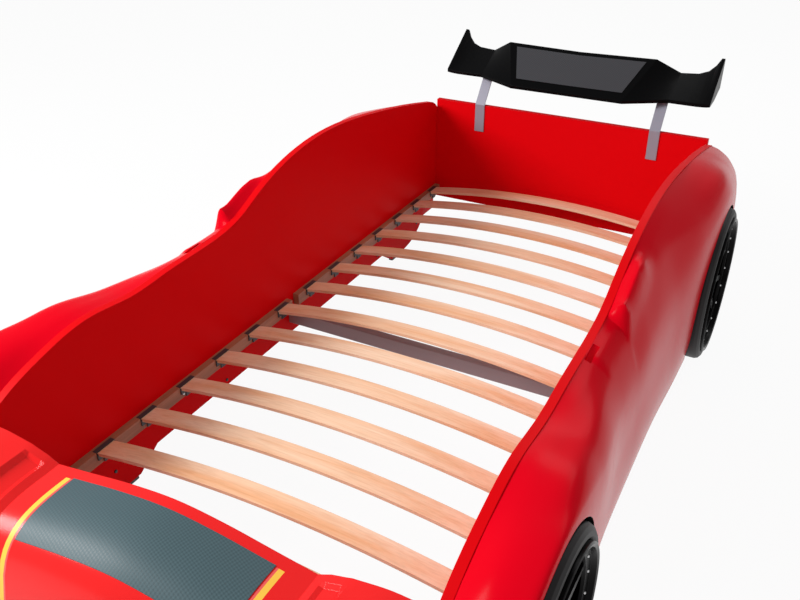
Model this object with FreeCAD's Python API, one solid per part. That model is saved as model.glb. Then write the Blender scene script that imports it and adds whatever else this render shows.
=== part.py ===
import FreeCAD, Part
import math
import os

# A child's bed shaped like a racing car, in millimetres.
# X runs across the bed, +Y towards the headboard, Z up from the floor.
# The origin is the middle of the bed's footprint, on the floor.
# Places along the bed are given as a distance s from the headboard's inner face
# towards the bonnet; heights h are above the top of a slat's end.

V = FreeCAD.Vector

# ---------------------------------------------------------------- driving dimensions

inner_width = 910.0          # between the side boards, for a 900 mm mattress
inner_length = 1905.0        # headboard to footboard, for a 1900 mm mattress
bonnet_length = 240.0        # footboard's inner face to the nose
spoiler_reach = 190.0        # headboard's inner face to the spoiler's rear tips
slat_height = 165.0          # top of a slat's end above the floor
board = 18.0                 # thickness of the painted boards
fit_gap = 0.3                # seat clearance between separate pieces

# side board outline
crest = 411.0                # highest point above the slats
belt = 291.0                 # low middle stretch above the slats
rear_shoulder = 314.0        # top where the rounded rear corner begins
front_shoulder = 212.0       # top at the footboard
board_bottom = 113.0         # straight lower edge below the slats
glide_height = 8.0           # nylon glide under each foot
foot_length = 80.0
foot_slope = 65.0
corner_sweep = 165.0         # length of the cut-away behind and before the feet
rear_foot = 255.0            # headboard to the rear foot
front_foot = 255.0           # front foot to the footboard
corner_length = 65.0         # rear top corner's rounding, along the bed
corner_drop = 58.0           # and in height
nose_setback = 65.0          # board's front end behind the nose
nose_height = 62.0           # board's front end above the slats

# headboard and footboard
headboard_height = 313.0     # above the slats
end_board_bottom = 44.0      # below the slats

# slatted base
slat_width = 48.4
slat_thickness = 8.0
slat_bow = 40.0              # rise of a slat's middle over its ends
slat_tail = 9.0              # length of slat inside its holder
slats_per_half = 7
rail_width = 18.0
rail_height = 32.0
rail_rise = 1.4              # rail's top above the slat's end
rail_gap = 31.0              # between the two halves
rail_head_gap = 2.0
rail_foot_gap = 32.0
rear_margins = (52.3, 65.5)  # rail ends to the outer slats of the rear half
front_margins = (44.5, 73.3)
holder_wall = 2.5
holder_depth = 18.0
holder_reach = 12.0          # depth of a rail's notch
tongue_width = 22.0
tongue_length = 13.0
tongue_thickness = 3.0

# crossbar
crossbar_drop = 39.0         # its top below the slats' ends
crossbar_height = 40.0
crossbar_depth = 25.0
crossbar_wall = 2.0
plug_length = 45.0           # plug in each end of the crossbar
plug_web = 8.0               # thickness that its bolts clamp to the board
plug_bolt_spacing = 19.0
counterbore = 12.4

# wheels
wheel_radius = 211.0
rim_radius = 186.0
wheel_centre = 218.0         # above the floor
rear_axle = 414.0            # from the headboard
front_axle = 144.0           # from the footboard, towards the headboard
arch_radius = 219.0
pocket_wall = 72.0           # board's outer face to the pocket's back
wheel_back_gap = 3.0
tyre_face = 131.0            # board's outer face to the tyre's outer shoulder
rim_face = 138.0             # board's outer face to the rim's outer lip
spoke_count = 10
wheel_block_radius = 55.0
wheel_bolt = 10.0
wheel_bolt_grip = 14.0       # depth of the wheel bolt in the side board

# side shells
shell_wall = 4.0
sill_height = 36.0
flange_height = 60.0         # where the shell's underside meets the board
flange_rise = 16.0
scoop_front = 1150.0         # headboard to the front of the air scoop
scoop_length = 220.0
scoop_height = 48.0
scoop_face = 15.0            # length of its steep front
shell_rear = 22.0            # shell's end behind the headboard's inner face
arch_lip = 14.0              # width of the fender's crown round each arch

# bonnet
bonnet_wall = 4.0
crown = 235.0                # bonnet's rear edge above the slats, at the middle
crease = 202.0
crease_x = 266.0
fender = 233.0
bonnet_flange = 28.0
recess_x = 281.0             # channel beside the crease
recess_width = 44.0
recess_start = 16.0          # its rear end before the bonnet's rear edge
recess_depth = 7.0
bonnet_nose = 72.0           # front edge above the slats
bonnet_tip = 38.0            # front edge behind the nose
panel_half_width = 198.0
panel_setback = 22.0
panel_length = 130.0
panel_thickness = 1.2

# front bumper
bumper_wall = 4.0
bumper_overhang = 92.0       # bumper's end beyond the board's outer face
bumper_sweep = 58.0          # corners lie this far behind the nose
bumper_bottom = 34.0
grille_half_width = 215.0
grille_bottom = 70.0
grille_height = 70.0
lamp_length = 182.0
lamp_end_gap = 65.0          # lens to the bumper's end
lamp_bottom = 158.0
lamp_height = 46.0

# spoiler, with distances r behind the headboard's inner face
spoiler_half_width = 437.0
spoiler_wall = 3.0
lip = 10.0
strip_width = 33.0
strip_thickness = 3.0
strip_x = 293.5
strip_foot = 90.0            # length on the headboard's inner face
strip_tab = 60.0

# fasteners: (shaft diameter, length, head diameter, head height)
corner_screw = (7.0, 50.0, 10.0, 4.0)
rail_screw = (4.0, 32.0, 8.0, 3.0)
shell_screw = (4.0, 19.0, 8.0, 2.5)
crossbar_bolt = (6.0, 22.0, 11.0, 4.0)
spoiler_bolt = (5.0, 20.5, 10.0, 3.0)
hole_gap = 0.15
corner_screw_heights = (10.0, 90.0, 165.0)    # above the slats
dowel_heights = (50.0, 130.0)
dowel_diameter = 8.0
dowel_length = 35.0

# ---------------------------------------------------------------- derived places

overall_length = bonnet_length + inner_length + spoiler_reach
head_y = overall_length / 2 - spoiler_reach
half_width = inner_width / 2
board_face = half_width + board
foot_drop = slat_height - board_bottom - glide_height    # the feet reach this far below the edge
lamp_outer = board_face + bumper_overhang - lamp_end_gap
lamp_inner = lamp_outer - lamp_length
nose = inner_length + bonnet_length
board_end = nose - nose_setback
rail_length = (inner_length - rail_gap - rail_head_gap - rail_foot_gap) / 2
front_rail = rail_head_gap + rail_length + rail_gap
rail_face = half_width - rail_width
slat_half = rail_face + slat_tail
slat_radius = (rail_face ** 2 + slat_bow ** 2) / (2 * slat_bow)
crossbar_s = rail_head_gap + rail_length + rail_gap / 2
axles = (rear_axle, inner_length - front_axle)


def place(x, s, h):
    """A point from the distance s from the headboard and the height h over the slats."""
    return V(x, head_y - s, slat_height + h)


def floor_place(x, s, z):
    return V(x, head_y - s, z)


def block(x0, x1, s0, s1, z0, z1):
    """A box between two places along the bed, with z above the floor."""
    return Part.makeBox(x1 - x0, s1 - s0, z1 - z0, V(x0, head_y - s1, z0))


def polygon(points):
    return Part.makePolygon(list(points) + [points[0]])


def spline(points):
    curve = Part.BSplineCurve()
    curve.interpolate(list(points))
    return curve.toShape()


def line(a, b):
    return Part.LineSegment(a, b).toShape()


def mirrored(shape):
    return shape.mirror(V(0, 0, 0), V(1, 0, 0))


def both_sides(shape):
    return [shape, mirrored(shape)]


def group(shapes):
    return Part.makeCompound(list(shapes))


def cut_all(shape, tools):
    tools = list(tools)
    return shape.cut(tools) if tools else shape


# ---------------------------------------------------------------- fasteners

def screw(size, at, axis):
    """A screw whose head stands on at and whose shaft runs along axis."""
    diameter, length, head_diameter, head_height = size
    shaft = Part.makeCylinder(diameter / 2, length, at, axis)
    head = Part.makeCylinder(head_diameter / 2, head_height, at - axis * head_height, axis)
    return shaft.fuse(head).removeSplitter()


def sunk_screw(size, at, axis):
    """A countersunk screw whose head ends level with at."""
    diameter, length, head_diameter, head_height = size
    shaft = Part.makeCylinder(diameter / 2, length, at, axis)
    head = Part.makeCone(head_diameter / 2, diameter / 2, head_height, at, axis)
    return shaft.fuse(head).removeSplitter()


def screw_hole(size, at, axis, sunk=False):
    diameter, length, head_diameter, head_height = size
    hole = Part.makeCylinder(diameter / 2 + hole_gap, length + 1, at, axis)
    if sunk:
        sink = Part.makeCone(
            head_diameter / 2 + hole_gap, diameter / 2 + hole_gap, head_height, at, axis
        )
        hole = hole.fuse(sink)
    return hole


# ---------------------------------------------------------------- side board outline

def top_knots():
    """The board's top edge from the rear corner to the nose, as (s, h)."""
    rise = crest - belt
    length = inner_length
    return [
        (corner_length - board, rear_shoulder),
        (0.108 * length, belt + 0.47 * rise),
        (0.220 * length, belt + 0.775 * rise),
        (0.386 * length, crest),
        (0.472 * length, belt + 0.84 * rise),
        (0.546 * length, belt + 0.47 * rise),
        (0.588 * length, belt + 0.19 * rise),
        (0.617 * length, belt + 0.085 * rise),
        (0.729 * length, belt),
        (0.787 * length, belt - 0.05 * rise),
        (0.856 * length, belt + 0.042 * rise),
        (0.918 * length, belt - 0.125 * rise),
        (0.968 * length, belt - 0.39 * rise),
        (length, front_shoulder),
        (0.55 * length + 0.45 * board_end, 0.72 * front_shoulder + 0.28 * nose_height),
        (board_end, nose_height),
    ]


def through(knots, s):
    """Value at s of a smooth curve through the knots."""
    if s <= knots[0][0]:
        return knots[0][1]
    if s >= knots[-1][0]:
        return knots[-1][1]
    i = max(k for k in range(len(knots) - 1) if knots[k][0] <= s)
    s0, h0 = knots[i]
    s1, h1 = knots[i + 1]
    before = knots[max(i - 1, 0)]
    after = knots[min(i + 2, len(knots) - 1)]
    slope0 = (h1 - before[1]) / (s1 - before[0])
    slope1 = (after[1] - h0) / (after[0] - s0)
    t = (s - s0) / (s1 - s0)
    return (
        h0 * (1 + 2 * t) * (1 - t) ** 2
        + h1 * t * t * (3 - 2 * t)
        + (s1 - s0) * t * (1 - t) * (slope0 * (1 - t) - slope1 * t)
    )


def board_top(s):
    """Height of the top edge, with the rear corner rounded off as a quarter ellipse."""
    knots = top_knots()
    start, height = knots[0]
    if s >= start:
        return through(knots, s)
    slope = (knots[1][1] - height) / (knots[1][0] - start)
    part = min((start - s) / corner_length, 1.0)
    return height - slope * (start - s) - corner_drop * (1.0 - math.sqrt(1.0 - part ** 2))


def corner_places():
    """Distances along the rounded rear corner, from the board's end to its level top."""
    start = corner_length - board
    return [start - corner_length * math.cos(math.radians(angle)) for angle in (0, 20, 40, 60, 75, 90)]


def sweep_points(foot_s, sign):
    """A quarter ellipse from the foot up to the cut-away corner."""
    drop = board_bottom + foot_drop - end_board_bottom
    points = []
    for step in range(7):
        angle = math.radians(90 - 15 * step)
        s = foot_s + sign * corner_sweep * math.cos(angle)
        points.append((s, -end_board_bottom - drop * math.sin(angle)))
    return points


def side_board_wire(x):
    low = -board_bottom - foot_drop
    rear_end = -board
    front_end = board_end
    rear_sweep = sweep_points(rear_foot, -1)
    front_start = inner_length - front_foot
    front_sweep = sweep_points(front_start, 1)
    front_edge = front_start - foot_length - foot_slope
    rear_edge = rear_foot + foot_length + foot_slope
    at = lambda p: place(x, *p)
    knots = top_knots()
    corner = [(s, board_top(s)) for s in corner_places()]
    edges = [
        spline([at(p) for p in corner]),
        spline([at(p) for p in knots]),
        line(at(knots[-1]), at((front_end, -end_board_bottom))),
        line(at((front_end, -end_board_bottom)), at(front_sweep[-1])),
        spline([at(p) for p in reversed(front_sweep)]),
        line(at(front_sweep[0]), at((front_start - foot_length, low))),
        line(at((front_start - foot_length, low)), at((front_edge, -board_bottom))),
        line(at((front_edge, -board_bottom)), at((rear_edge, -board_bottom))),
        line(at((rear_edge, -board_bottom)), at((rear_foot + foot_length, low))),
        line(at((rear_foot + foot_length, low)), at(rear_sweep[0])),
        spline([at(p) for p in rear_sweep]),
        line(at(rear_sweep[-1]), at((rear_end, -end_board_bottom))),
        line(at((rear_end, -end_board_bottom)), at(corner[0])),
    ]
    return Part.Wire(Part.__sortEdges__(edges))


# ---------------------------------------------------------------- fastener places

def corner_screw_places():
    """Screws through a side board into the ends of the head and foot boards."""
    places = []
    for s in (-board / 2, inner_length + board / 2):
        for h in corner_screw_heights:
            places.append(place(board_face, s, h))
    return places


def dowel_places():
    places = []
    for s in (-board / 2, inner_length + board / 2):
        for h in dowel_heights:
            places.append(place(half_width, s, h))
    return places


def rail_starts():
    return (rail_head_gap, front_rail)


def rail_screw_places():
    places = []
    for start in rail_starts():
        for part in (0.06, 0.5, 0.94):
            places.append(place(rail_face, start + part * rail_length, rail_rise - 0.72 * rail_height))
    return places


def shell_screw_places():
    places = []
    first, last = 0.02 * inner_length, board_end - 40.0
    count = 6
    for i in range(count):
        s = first + (last - first) * i / (count - 1)
        h = flange_height + flange_rise / 2 + 1 - slat_height
        if h < -end_board_bottom - 4:
            rear_clear = rear_foot - 0.62 * corner_sweep
            front_clear = inner_length - front_foot + 0.62 * corner_sweep
            s = min(max(s, rear_clear), front_clear)
        places.append(place(half_width, s, h))
    return places


def crossbar_bolt_places():
    h = -crossbar_drop - crossbar_height / 2
    x = half_width - plug_web
    return [place(x, crossbar_s, h + k * plug_bolt_spacing / 2) for k in (-1, 1)]


def wheel_places():
    return [floor_place(board_face, s, wheel_centre) for s in axles]


def spoiler_bolt_places():
    return [place(strip_x, -board, headboard_height - strip_foot * k) for k in (0.35, 0.75)]


RIGHT = V(1, 0, 0)
FORWARD = V(0, -1, 0)


# ---------------------------------------------------------------- boards

def side_board():
    face = Part.Face(side_board_wire(half_width))
    shape = face.extrude(V(board, 0, 0))
    tools = [screw_hole(corner_screw, p, -RIGHT) for p in corner_screw_places()]
    tools += [screw_hole(rail_screw, p, RIGHT) for p in rail_screw_places()]
    tools += [screw_hole(shell_screw, p, RIGHT) for p in shell_screw_places()]
    tools += [screw_hole(crossbar_bolt, p, RIGHT) for p in crossbar_bolt_places()]
    tools += [
        Part.makeCylinder(wheel_bolt / 2 + hole_gap, wheel_bolt_grip + 2, p + RIGHT, -RIGHT)
        for p in wheel_places()
    ]
    tools += [dowel_hole(p) for p in dowel_places()]
    return cut_all(shape, tools)


def dowel_hole(p):
    return Part.makeCylinder(
        dowel_diameter / 2 + hole_gap, dowel_length + 2, p - RIGHT * (dowel_length * 0.65 + 1), RIGHT
    )


def dowel(p):
    return Part.makeCylinder(dowel_diameter / 2, dowel_length, p - RIGHT * (dowel_length * 0.65), RIGHT)


def end_board_holes():
    tools = []
    for p in corner_screw_places():
        tools += both_sides(screw_hole(corner_screw, p, -RIGHT))
    for p in dowel_places():
        tools += both_sides(dowel_hole(p))
    return tools


def headboard():
    reach = half_width - fit_gap
    shape = block(
        -reach, reach, -board, 0, slat_height - end_board_bottom, slat_height + headboard_height
    )
    edge_tools = end_board_holes()
    for p in spoiler_bolt_places():
        edge_tools += both_sides(screw_hole(spoiler_bolt, p, FORWARD))
    return cut_all(shape, edge_tools)


def footboard():
    """Its top edge follows the underside of the bonnet."""
    reach = half_width - fit_gap
    drop = bonnet_wall + fit_gap
    top = [place(x, inner_length, h - drop) for x, h in bonnet_knots(1.0) if x < reach]
    last = bonnet_knots(1.0)[-1]
    top.append(place(reach, inner_length, last[1] - drop))
    left = [V(-p.x, p.y, p.z) for p in reversed(top[1:])]
    bottom = -end_board_bottom
    corners = [place(reach, inner_length, bottom), place(-reach, inner_length, bottom)]
    face = Part.Face(polygon(left + top + corners))
    shape = face.extrude(V(0, -board, 0))
    return cut_all(shape, end_board_holes())


# ---------------------------------------------------------------- slatted base

def slat_places():
    rear = [rail_head_gap + rear_margins[0] + i * rear_pitch() for i in range(slats_per_half)]
    front = [front_rail + front_margins[0] + i * front_pitch() for i in range(slats_per_half)]
    return rear + front


def rear_pitch():
    return (rail_length - sum(rear_margins)) / (slats_per_half - 1)


def front_pitch():
    return (rail_length - sum(front_margins)) / (slats_per_half - 1)


def bowed_strip(s, reach, width, over, under):
    """A bowed strip across the bed; over and under widen it for a pocket."""
    centre = -(slat_radius - slat_bow)
    outer = slat_radius + over
    inner = slat_radius - slat_thickness - under

    def arc(radius, sign):
        ends = [
            place(k * reach * sign, s, centre + math.sqrt(radius ** 2 - reach ** 2)) for k in (-1, 1)
        ]
        return Part.Arc(ends[0], place(0, s, centre + radius), ends[1]).toShape(), ends

    top, top_ends = arc(outer, 1)
    bottom, bottom_ends = arc(inner, -1)
    edges = [top, line(top_ends[1], bottom_ends[0]), bottom, line(bottom_ends[1], top_ends[0])]
    face = Part.Face(Part.Wire(edges))
    face.translate(V(0, -width / 2, 0))
    return face.extrude(V(0, width, 0))


def slat(s):
    return bowed_strip(s, slat_half, slat_width, 0, 0)


def rail(start):
    top = slat_height + rail_rise
    shape = block(rail_face, half_width, start, start + rail_length, top - rail_height, top)
    tools = []
    half = slat_width / 2 + holder_wall + fit_gap
    for s in slat_places():
        if start < s < start + rail_length:
            tools.append(block(
                rail_face - 1, rail_face + holder_reach, s - half, s + half,
                slat_height - holder_depth - fit_gap, top + 1,
            ))
    for p in rail_screw_places():
        if start < head_y - p.y < start + rail_length:
            tools.append(screw_hole(rail_screw, p, RIGHT, sunk=True))
    return cut_all(shape, tools)


def holder(s):
    """Plastic pocket that holds one slat's end in its notch."""
    half = slat_width / 2 + holder_wall
    top = slat_height + 2.0
    cap = block(
        rail_face, rail_face + holder_reach - fit_gap, s - half, s + half, slat_height - holder_depth, top
    )
    flange = block(
        rail_face - tongue_thickness, rail_face, s - half, s + half,
        slat_height - holder_depth, top - 4.0,
    )
    tongue = block(
        rail_face - tongue_thickness, rail_face, s - tongue_width / 2, s + tongue_width / 2,
        slat_height - holder_depth - tongue_length, slat_height - holder_depth + 1,
    )
    body = cap.fuse([flange, tongue]).removeSplitter()
    pocket = bowed_strip(s, slat_half + fit_gap, slat_width + 2 * fit_gap, fit_gap, fit_gap)
    return body.cut(pocket)


def holders(start):
    return group(holder(s) for s in slat_places() if start < s < start + rail_length)


def crossbar():
    reach = half_width - fit_gap
    s0, s1 = crossbar_s - crossbar_depth / 2, crossbar_s + crossbar_depth / 2
    top = slat_height - crossbar_drop
    outer = block(-reach, reach, s0, s1, top - crossbar_height, top)
    long_edges = [e for e in outer.Edges if abs(e.Length - 2 * reach) < 0.01]
    outer = outer.makeFillet(3.0, long_edges)
    w = crossbar_wall
    inner = block(-reach - 1, reach + 1, s0 + w, s1 - w, top - crossbar_height + w, top - w)
    return outer.cut(inner)


def crossbar_bracket():
    """Plug inside the crossbar's end, bolted to the side board."""
    top = slat_height - crossbar_drop
    inset = crossbar_wall + fit_gap
    plug = block(
        half_width - plug_length, half_width,
        crossbar_s - crossbar_depth / 2 + inset, crossbar_s + crossbar_depth / 2 - inset,
        top - crossbar_height + inset, top - inset,
    )
    tools = [screw_hole(crossbar_bolt, p, RIGHT) for p in crossbar_bolt_places()]
    tools += [Part.makeCylinder(counterbore / 2, plug_length, p, -RIGHT) for p in crossbar_bolt_places()]
    return cut_all(plug, tools)


# ---------------------------------------------------------------- side shells

# The shell's outer form: at each place s, how far six points stand out from the board,
# and how far the first three lie below the board's top edge.
def shell_knots():
    length = inner_length
    rear, front = axles
    return [
        (-shell_rear, (20, 50, 78, 84, 80, 70), (8, 34, 84)),
        (0.10 * length, (32, 76, 106, 112, 108, 92), (10, 36, 92)),
        (rear, (42, 92, 116, 119, 112, 96), (12, 34, 88)),
        (0.34 * length, (34, 78, 106, 112, 108, 92), (24, 66, 130)),
        (0.45 * length, (28, 54, 84, 94, 96, 84), (30, 76, 170)),
        (0.588 * length, (30, 54, 80, 90, 94, 84), (22, 52, 130)),
        (0.68 * length, (28, 58, 86, 96, 98, 86), (14, 42, 106)),
        (0.79 * length, (38, 84, 110, 114, 108, 92), (2, 12, 60)),
        (front, (46, 96, 117, 119, 112, 96), (-6, -5, 12)),
        (length, (44, 92, 114, 117, 110, 94), (-6, -6, 16)),
        (length + 0.55 * (board_end - length), (38, 84, 104, 108, 104, 88), (0, 4, 22)),
        (board_end, (30, 66, 86, 92, 92, 82), (4, 14, 30)),
    ]


def scoop_rise(s):
    """Rise of the air scoop's hood over the shoulder, with its steep face to the front."""
    end = scoop_front
    knots = [
        (end - scoop_length, 0.0), (end - 0.86 * scoop_length, 0.2), (end - 0.66 * scoop_length, 0.7),
        (end - 0.5 * scoop_length, 0.8), (end - 0.18 * scoop_length, 0.86), (end - scoop_face, 1.0),
        (end, 0.1), (end + scoop_face, 0.0),
    ]
    for (s0, k0), (s1, k1) in zip(knots, knots[1:]):
        if s0 <= s <= s1:
            return scoop_height * (k0 + (k1 - k0) * (s - s0) / (s1 - s0))
    return 0.0


def fender_height(s):
    """Height above the floor that keeps the fender's crown outside the nearer wheel arch."""
    reach = min(abs(s - axle) for axle in axles)
    radius = arch_radius + arch_lip
    return wheel_centre + math.sqrt(max(radius ** 2 - reach ** 2, 0.0))


def smooth_max(a, b, blend):
    return (a + b + math.hypot(a - b, blend)) / 2


def shell_point(s, row, values, drops):
    """One point of the outer form, as (distance from the board, height above the floor)."""
    top = slat_height + board_top(s) - 1.5
    if row == 0:
        return 0.0, top
    out = values[row - 1]
    crown = fender_height(s)
    shoulder = [smooth_max(top - drop, crown + lift, 16.0) for drop, lift in zip(drops, (-4, 2, -4))]
    if row == 1:
        return out, shoulder[0] + scoop_rise(s)
    if row <= 3:
        return out, shoulder[row - 1]
    share = (0.36, 0.72, 1.0)[row - 4]
    return out, shoulder[2] + (sill_height - shoulder[2]) * share


def shell_stations(first, last):
    """Places of the form's sections: close together at the rear corner and at the scoop."""
    corner = corner_places()
    step = 82.0
    count = int((last - corner[-1]) / step)
    even = [corner[-1] + (last - corner[-1]) * i / count for i in range(1, count)]
    scoop = [scoop_front - 0.66 * scoop_length, scoop_front - scoop_face, scoop_front]
    even = [s for s in even if min(abs(s - p) for p in scoop) > step / 4]
    inner = [s for s in sorted(corner + even + scoop) if first + 3 < s < last - 3]
    return [first] + inner + [last]


def shell_rows(s):
    knots = shell_knots()
    values = [through([(k[0], k[1][i]) for k in knots], s) for i in range(6)]
    drops = [through([(k[0], k[2][i]) for k in knots], s) for i in range(3)]
    return [shell_point(s, row, values, drops) for row in range(7)]


def inset_rows(rows, wall):
    """Points moved inwards by the wall, square to the outline."""
    moved = []
    for i, (e, z) in enumerate(rows):
        a = rows[max(i - 1, 0)]
        b = rows[min(i + 1, len(rows) - 1)]
        de, dz = b[0] - a[0], b[1] - a[1]
        size = math.hypot(de, dz)
        moved.append((e + dz / size * wall, z - de / size * wall))
    return moved


def skinned(loops):
    """Solid through closed loops of points, with flat triangles between them."""
    faces = [Part.Face(polygon(loops[0])), Part.Face(polygon(loops[-1]))]
    for near, far in zip(loops, loops[1:]):
        for i in range(len(near)):
            j = (i + 1) % len(near)
            faces.append(Part.Face(polygon([near[i], near[j], far[j]])))
            faces.append(Part.Face(polygon([near[i], far[j], far[i]])))
    sewn = Part.makeShell(faces)
    sewn.sewShape()
    solid = Part.Solid(sewn)
    if solid.Volume < 0:
        solid.reverse()
    return solid


def shell_form(first, last, wall, back):
    """The shell's form set in by the wall, closed at the distance back from the board."""
    loops = []
    for s in shell_stations(first + wall, last - wall):
        rows = shell_rows(s)
        if wall:
            rows = inset_rows(rows, wall)
            rows[0] = (back, rows[0][1])
            rows[-1] = (rows[-1][0], sill_height + wall)
        loop = [floor_place(board_face + e, s, z) for e, z in rows]
        loop.append(floor_place(board_face + back, s, flange_height + wall))
        loops.append(loop)
    return skinned(loops)


def side_shell():
    first, last = -shell_rear, board_end
    w = shell_wall
    filled = shell_form(first, last, 0.0, 0.0)
    core = shell_form(first, last, w / 2, 0.0)
    shape = filled.cut(shell_form(first, last, w, -5.0))
    flange = block(
        board_face, board_face + w, first + w / 2, last - w / 2,
        flange_height + w / 2, flange_height + flange_rise,
    )
    pieces = [flange]
    cuts = []
    for s in axles:
        centre = floor_place(board_face + pocket_wall, s, wheel_centre)
        cuts.append(Part.makeCylinder(arch_radius, 200.0, centre, RIGHT))
        drum = Part.makeCylinder(arch_radius + w, 200.0, centre - RIGHT * w, RIGHT)
        pieces.append(drum.common(core))
    shape = shape.fuse(pieces).cut(cuts)
    tools = [screw_hole(shell_screw, p, RIGHT) for p in shell_screw_places()]
    tools += [
        Part.makeCylinder(wheel_bolt / 2 + hole_gap, 200.0, p, RIGHT) for p in wheel_places()
    ]
    return cut_all(shape, tools)


# ---------------------------------------------------------------- wheels

def wheel_block(p):
    """Block between the side board and the back of the wheel pocket."""
    length = pocket_wall - shell_wall - fit_gap
    shape = Part.makeCylinder(wheel_block_radius, length, p, RIGHT)
    return shape.cut(Part.makeCylinder(wheel_bolt / 2 + hole_gap, length + 2, p - RIGHT, RIGHT))


def revolved(points, p):
    """Profile points (radius, distance from the board) turned about the wheel's axis."""
    profile = [V(p.x + x, p.y, p.z + r) for r, x in points]
    return Part.Face(polygon(profile)).revolve(p, RIGHT, 360)


def tyre(p):
    back = pocket_wall + wheel_back_gap
    face = tyre_face
    seat = rim_radius - 8.0
    points = [
        (seat, back + 4), (wheel_radius - 12, back), (wheel_radius - 3, back + 5),
        (wheel_radius, back + 13), (wheel_radius, face - 14), (wheel_radius - 3, face - 6),
        (wheel_radius - 10, face - 1), (rim_radius + 6, face), (rim_radius + 1, face - 3),
        (rim_radius + 0.3, face - 8), (seat, face - 12),
    ]
    return revolved(points, p)


def spoke_section(p, r, half, back, front, chamfer):
    """Section of a spoke at the radius r, narrower in front by the chamfer."""
    corners = [(back, -half), (back, half), (front, half - chamfer), (front, chamfer - half)]
    return polygon([V(p.x + x, p.y + y, p.z + r) for x, y in corners])


def rim(p):
    """Barrel, lip, split spokes and hub of one moulded rim."""
    back = pocket_wall + wheel_back_gap
    face = rim_face
    outer = rim_radius
    seat = outer - 8.0 - fit_gap
    ring = revolved([
        (seat, back + 4), (seat, tyre_face - 12), (outer, tyre_face - 8), (outer, face - 2),
        (outer - 3, face), (outer - 9, face - 2), (outer - 12, face - 12), (outer - 26, face - 16),
        (outer - 28, face - 22), (outer - 16, back + 10), (outer - 16, back + 4),
    ], p)
    hub_face = face - 20
    hub = revolved([
        (wheel_bolt / 2 + hole_gap, back), (34, back), (44, back + 10), (44, hub_face - 8),
        (38, hub_face), (26, hub_face), (24, hub_face - 10),
        (wheel_bolt / 2 + hole_gap, hub_face - 10),
    ], p)
    inner, outer_end = 38.0, outer - 20.0
    root, tip = 15.0, 9.0
    deep, thick = hub_face - 6, 14.0
    spokes = []
    for i in range(spoke_count):
        near = spoke_section(p, inner, root, deep - thick, deep, 4.0)
        far = spoke_section(p, outer_end, tip, face - 34, face - 18, 3.0)
        arm = Part.makeLoft([near, far], True, True)
        arm.rotate(p, RIGHT, 360.0 * i / spoke_count)
        spokes.append(arm)
    return ring.fuse([hub] + spokes).removeSplitter()


def wheel_bolt_solid(p):
    """Bolt from the rim's hub through the pocket and the block into the board."""
    head_seat = p + RIGHT * (rim_face - 30)
    shaft = Part.makeCylinder(wheel_bolt / 2, rim_face - 30 + wheel_bolt_grip, head_seat, -RIGHT)
    head = Part.makeCylinder(9.0, 6.0, head_seat, RIGHT)
    return shaft.fuse(head).removeSplitter()


# ---------------------------------------------------------------- bonnet

def bonnet_knots(scale, depth=0.0):
    """Half section of the bonnet as (x, h): crown, crease, recess of a given depth, fender."""
    edge = half_width - fit_gap
    low = crease * scale
    rise = fender - crease
    outer = recess_x + recess_width
    return [
        (0.0, low + (crown - crease)),
        (0.36 * crease_x, low + 0.78 * (crown - crease)),
        (0.75 * crease_x, low + 0.30 * (crown - crease)),
        (crease_x, low),
        (recess_x, low + 0.24 * rise),
        (recess_x + 0.2 * recess_width, low + 0.38 * rise - depth),
        (outer - 0.2 * recess_width, low + 0.62 * rise - depth),
        (outer, low + 0.72 * rise),
        (0.5 * (outer + edge), low + 0.98 * rise),
        (edge, low + 0.88 * rise),
    ]


def bonnet_stations():
    """(s, scale of the crease height, depth of the recess) from the rear edge to the nose."""
    tip = nose - bonnet_tip
    length = tip - inner_length
    low = (bonnet_nose - 20.0) / crease
    return [
        (inner_length, 1.0, 0.0),
        (inner_length + recess_start, 1.0, 0.0),
        (inner_length + recess_start + recess_depth, 1.0, recess_depth),
        (inner_length + 0.50 * length, 0.985, recess_depth),
        (inner_length + 0.75 * length, 0.88, 0.6 * recess_depth),
        (inner_length + 0.90 * length, 0.66, 0.0),
        (tip, low, 0.0),
    ]


def bonnet_section(s, scale, depth, lift, thickness):
    """Closed section of a skin that lies lift above the bonnet's underside."""
    right = [place(x, s, h + lift - bonnet_wall) for x, h in bonnet_knots(scale, depth)]
    top = [V(-p.x, p.y, p.z + thickness) for p in reversed(right[1:])]
    top += [p + V(0, 0, thickness) for p in right]
    under = list(reversed(right)) + [V(-p.x, p.y, p.z) for p in right[1:]]
    return polygon(top + under)


def bonnet_skin(lift, thickness):
    sections = [bonnet_section(s, k, d, lift, thickness) for s, k, d in bonnet_stations()]
    return Part.makeLoft(sections, True, True)


def bonnet():
    edge = half_width - fit_gap
    top = []
    for s, scale, _ in bonnet_stations():
        h = bonnet_knots(scale)[-1][1]
        top.append(place(edge, s, h - bonnet_wall / 2))
    low = [V(p.x, p.y, p.z - bonnet_flange) for p in reversed(top)]
    flange = Part.Face(polygon(top + low)).extrude(V(-bonnet_wall, 0, 0))
    lip_s = inner_length + board + fit_gap
    lip_top = slat_height + crease - 2.0
    rear_lip = block(-crease_x, crease_x, lip_s, lip_s + bonnet_wall, lip_top - 24.0, lip_top)
    return bonnet_skin(0.0, bonnet_wall).fuse([rear_lip] + both_sides(flange)).removeSplitter()


def bonnet_panel():
    """Thin textured panel that lies on the bonnet's crown."""
    s0 = inner_length + panel_setback
    skin = bonnet_skin(bonnet_wall + fit_gap / 3, panel_thickness)
    window = block(
        -panel_half_width, panel_half_width, s0, s0 + panel_length, 0, slat_height + 2 * crown
    )
    return skin.common(window)


# ---------------------------------------------------------------- front bumper

def bumper_back(x):
    """Distance of the bumper's face behind the nose at x."""
    return bumper_sweep * (abs(x) / (board_face + bumper_overhang)) ** 2.6


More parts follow.
